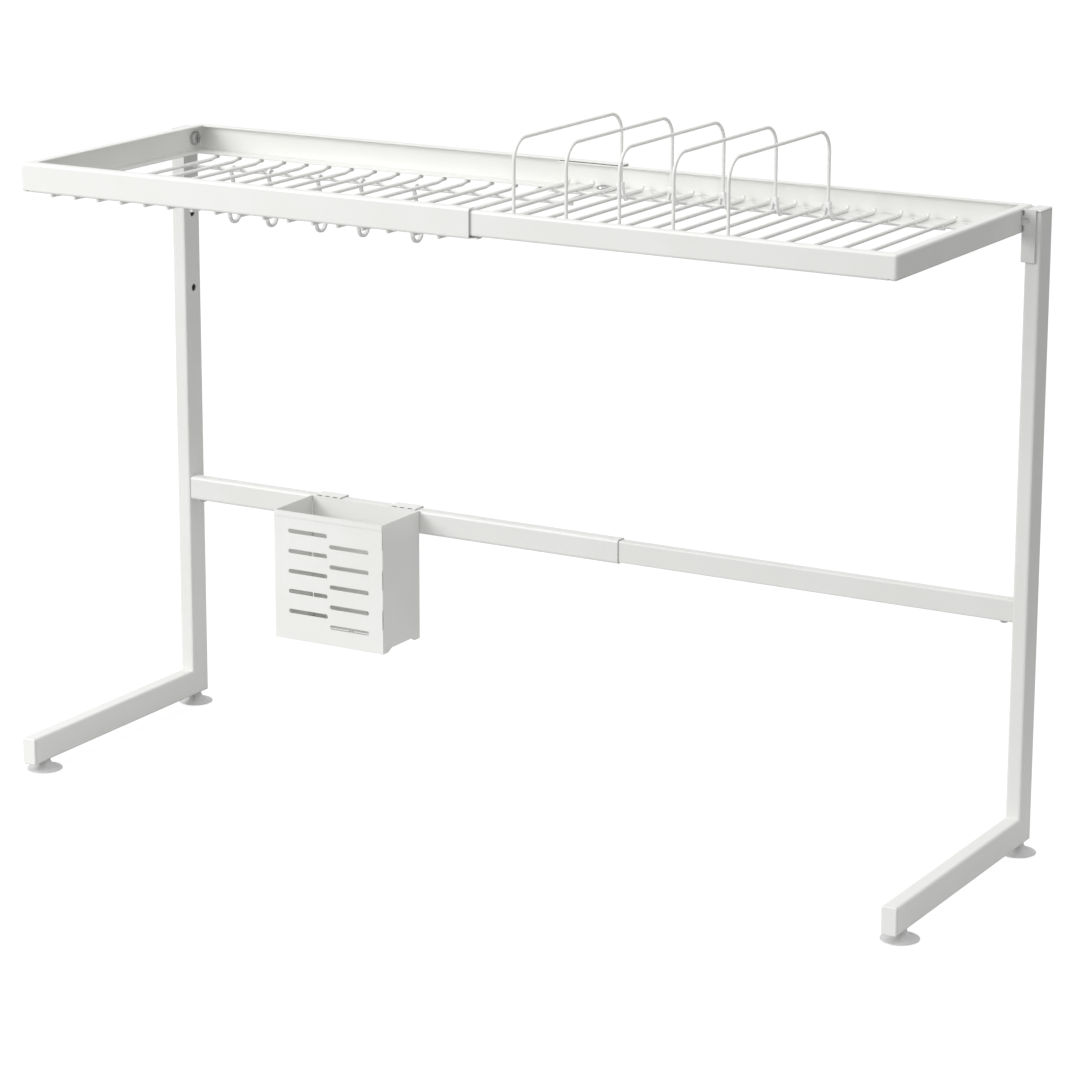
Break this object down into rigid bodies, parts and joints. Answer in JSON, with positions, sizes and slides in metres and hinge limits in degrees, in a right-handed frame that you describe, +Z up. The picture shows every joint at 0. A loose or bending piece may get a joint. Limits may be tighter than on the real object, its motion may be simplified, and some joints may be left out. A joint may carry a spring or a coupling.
{
  "type": "extendable dish drainer",
  "caption": "Free-standing drainer over a sink: telescoping wire tray and cross bar between L-shaped legs, lift-off plate arches, utensil hooks and a slotted cutlery basket.",
  "frame": {"origin": "on the floor, under the middle of the object at its pictured width", "axes": "+X along the trays, from the fixed side to the side that slides; -Y towards the user; +Z up"},
  "size_m": [0.9012, 0.282, 0.6254],
  "materials": {
    "coated_steel": "white powder coat, satin",
    "coated_wire": "white dipped coat, satin",
    "white_plastic": "moulded, satin",
    "soft_plastic": "translucent grey, soft",
    "plated_steel": "zinc plated"
  },
  "bodies": {
    "left_side": {"left_leg_frame": "coated_steel", "left_post_cap": "white_plastic", "left_foot_plug": "white_plastic", "left_front_pad": "soft_plastic", "left_rear_pad": "soft_plastic", "left_front_stem": "white_plastic", "left_rear_stem": "white_plastic", "left_bar_spigot": "white_plastic", "left_bar_screw": "plated_steel", "left_bracket": "coated_steel", "left_tray_screw": "plated_steel", "crossbar_outer": "coated_steel", "outer_tray_rim": "coated_steel", "outer_wire_grid": "coated_wire"},
    "right_side": {"right_leg_frame": "coated_steel", "right_post_cap": "white_plastic", "right_foot_plug": "white_plastic", "right_front_pad": "soft_plastic", "right_rear_pad": "soft_plastic", "right_front_stem": "white_plastic", "right_rear_stem": "white_plastic", "right_bar_spigot": "white_plastic", "right_bar_screw": "plated_steel", "right_bracket": "coated_steel", "right_tray_screw": "plated_steel", "crossbar_inner": "coated_steel", "inner_tray_rim": "coated_steel", "inner_wire_grid": "coated_wire", "lock_screw": "plated_steel"},
    "basket": {"cutlery_basket": "coated_steel"},
    "hook_1": {"utensil_hook_1": "white_plastic"},
    "hook_2": {"utensil_hook_2": "white_plastic"},
    "hook_3": {"utensil_hook_3": "white_plastic"},
    "hook_4": {"utensil_hook_4": "white_plastic"},
    "hook_5": {"utensil_hook_5": "white_plastic"},
    "arch_1": {"plate_arch_1": "coated_wire", "front_clip_1": "white_plastic", "rear_clip_1": "white_plastic"},
    "arch_2": {"plate_arch_2": "coated_wire", "front_clip_2": "white_plastic", "rear_clip_2": "white_plastic"},
    "arch_3": {"plate_arch_3": "coated_wire", "front_clip_3": "white_plastic", "rear_clip_3": "white_plastic"},
    "arch_4": {"plate_arch_4": "coated_wire", "front_clip_4": "white_plastic", "rear_clip_4": "white_plastic"},
    "arch_5": {"plate_arch_5": "coated_wire", "front_clip_5": "white_plastic", "rear_clip_5": "white_plastic"}
  },
  "joints": [
    {"name": "width_slide", "type": "slide", "parent": "left_side", "child": "right_side", "axis": [1, 0, 0], "range_m": [-0.35, 0]},
    {"name": "basket_slide", "type": "slide", "parent": "left_side", "child": "basket", "axis": [1, 0, 0], "range_m": [-0.135, 0.205]},
    {"name": "hook_1_swing", "type": "hinge", "parent": "left_side", "child": "hook_1", "pos_m": [-0.3535, 0.0875, 0.53815], "axis": [1, 0, 0], "range_deg": [-45, 45]},
    {"name": "hook_2_swing", "type": "hinge", "parent": "left_side", "child": "hook_2", "pos_m": [-0.312, 0.0875, 0.53815], "axis": [1, 0, 0], "range_deg": [-45, 45]},
    {"name": "hook_3_swing", "type": "hinge", "parent": "left_side", "child": "hook_3", "pos_m": [-0.25775, 0.0875, 0.53815], "axis": [1, 0, 0], "range_deg": [-45, 45]},
    {"name": "hook_4_swing", "type": "hinge", "parent": "left_side", "child": "hook_4", "pos_m": [-0.2115, 0.0875, 0.53815], "axis": [1, 0, 0], "range_deg": [-45, 45]},
    {"name": "hook_5_swing", "type": "hinge", "parent": "left_side", "child": "hook_5", "pos_m": [-0.154, 0.0875, 0.53815], "axis": [1, 0, 0], "range_deg": [-45, 45]},
    {"name": "arch_1_lift", "type": "slide", "parent": "right_side", "child": "arch_1", "axis": [0, 0, 1], "range_m": [0, 0.09]},
    {"name": "arch_2_lift", "type": "slide", "parent": "right_side", "child": "arch_2", "axis": [0, 0, 1], "range_m": [0, 0.09]},
    {"name": "arch_3_lift", "type": "slide", "parent": "right_side", "child": "arch_3", "axis": [0, 0, 1], "range_m": [0, 0.09]},
    {"name": "arch_4_lift", "type": "slide", "parent": "right_side", "child": "arch_4", "axis": [0, 0, 1], "range_m": [0, 0.09]},
    {"name": "arch_5_lift", "type": "slide", "parent": "right_side", "child": "arch_5", "axis": [0, 0, 1], "range_m": [0, 0.09]}
  ]
}
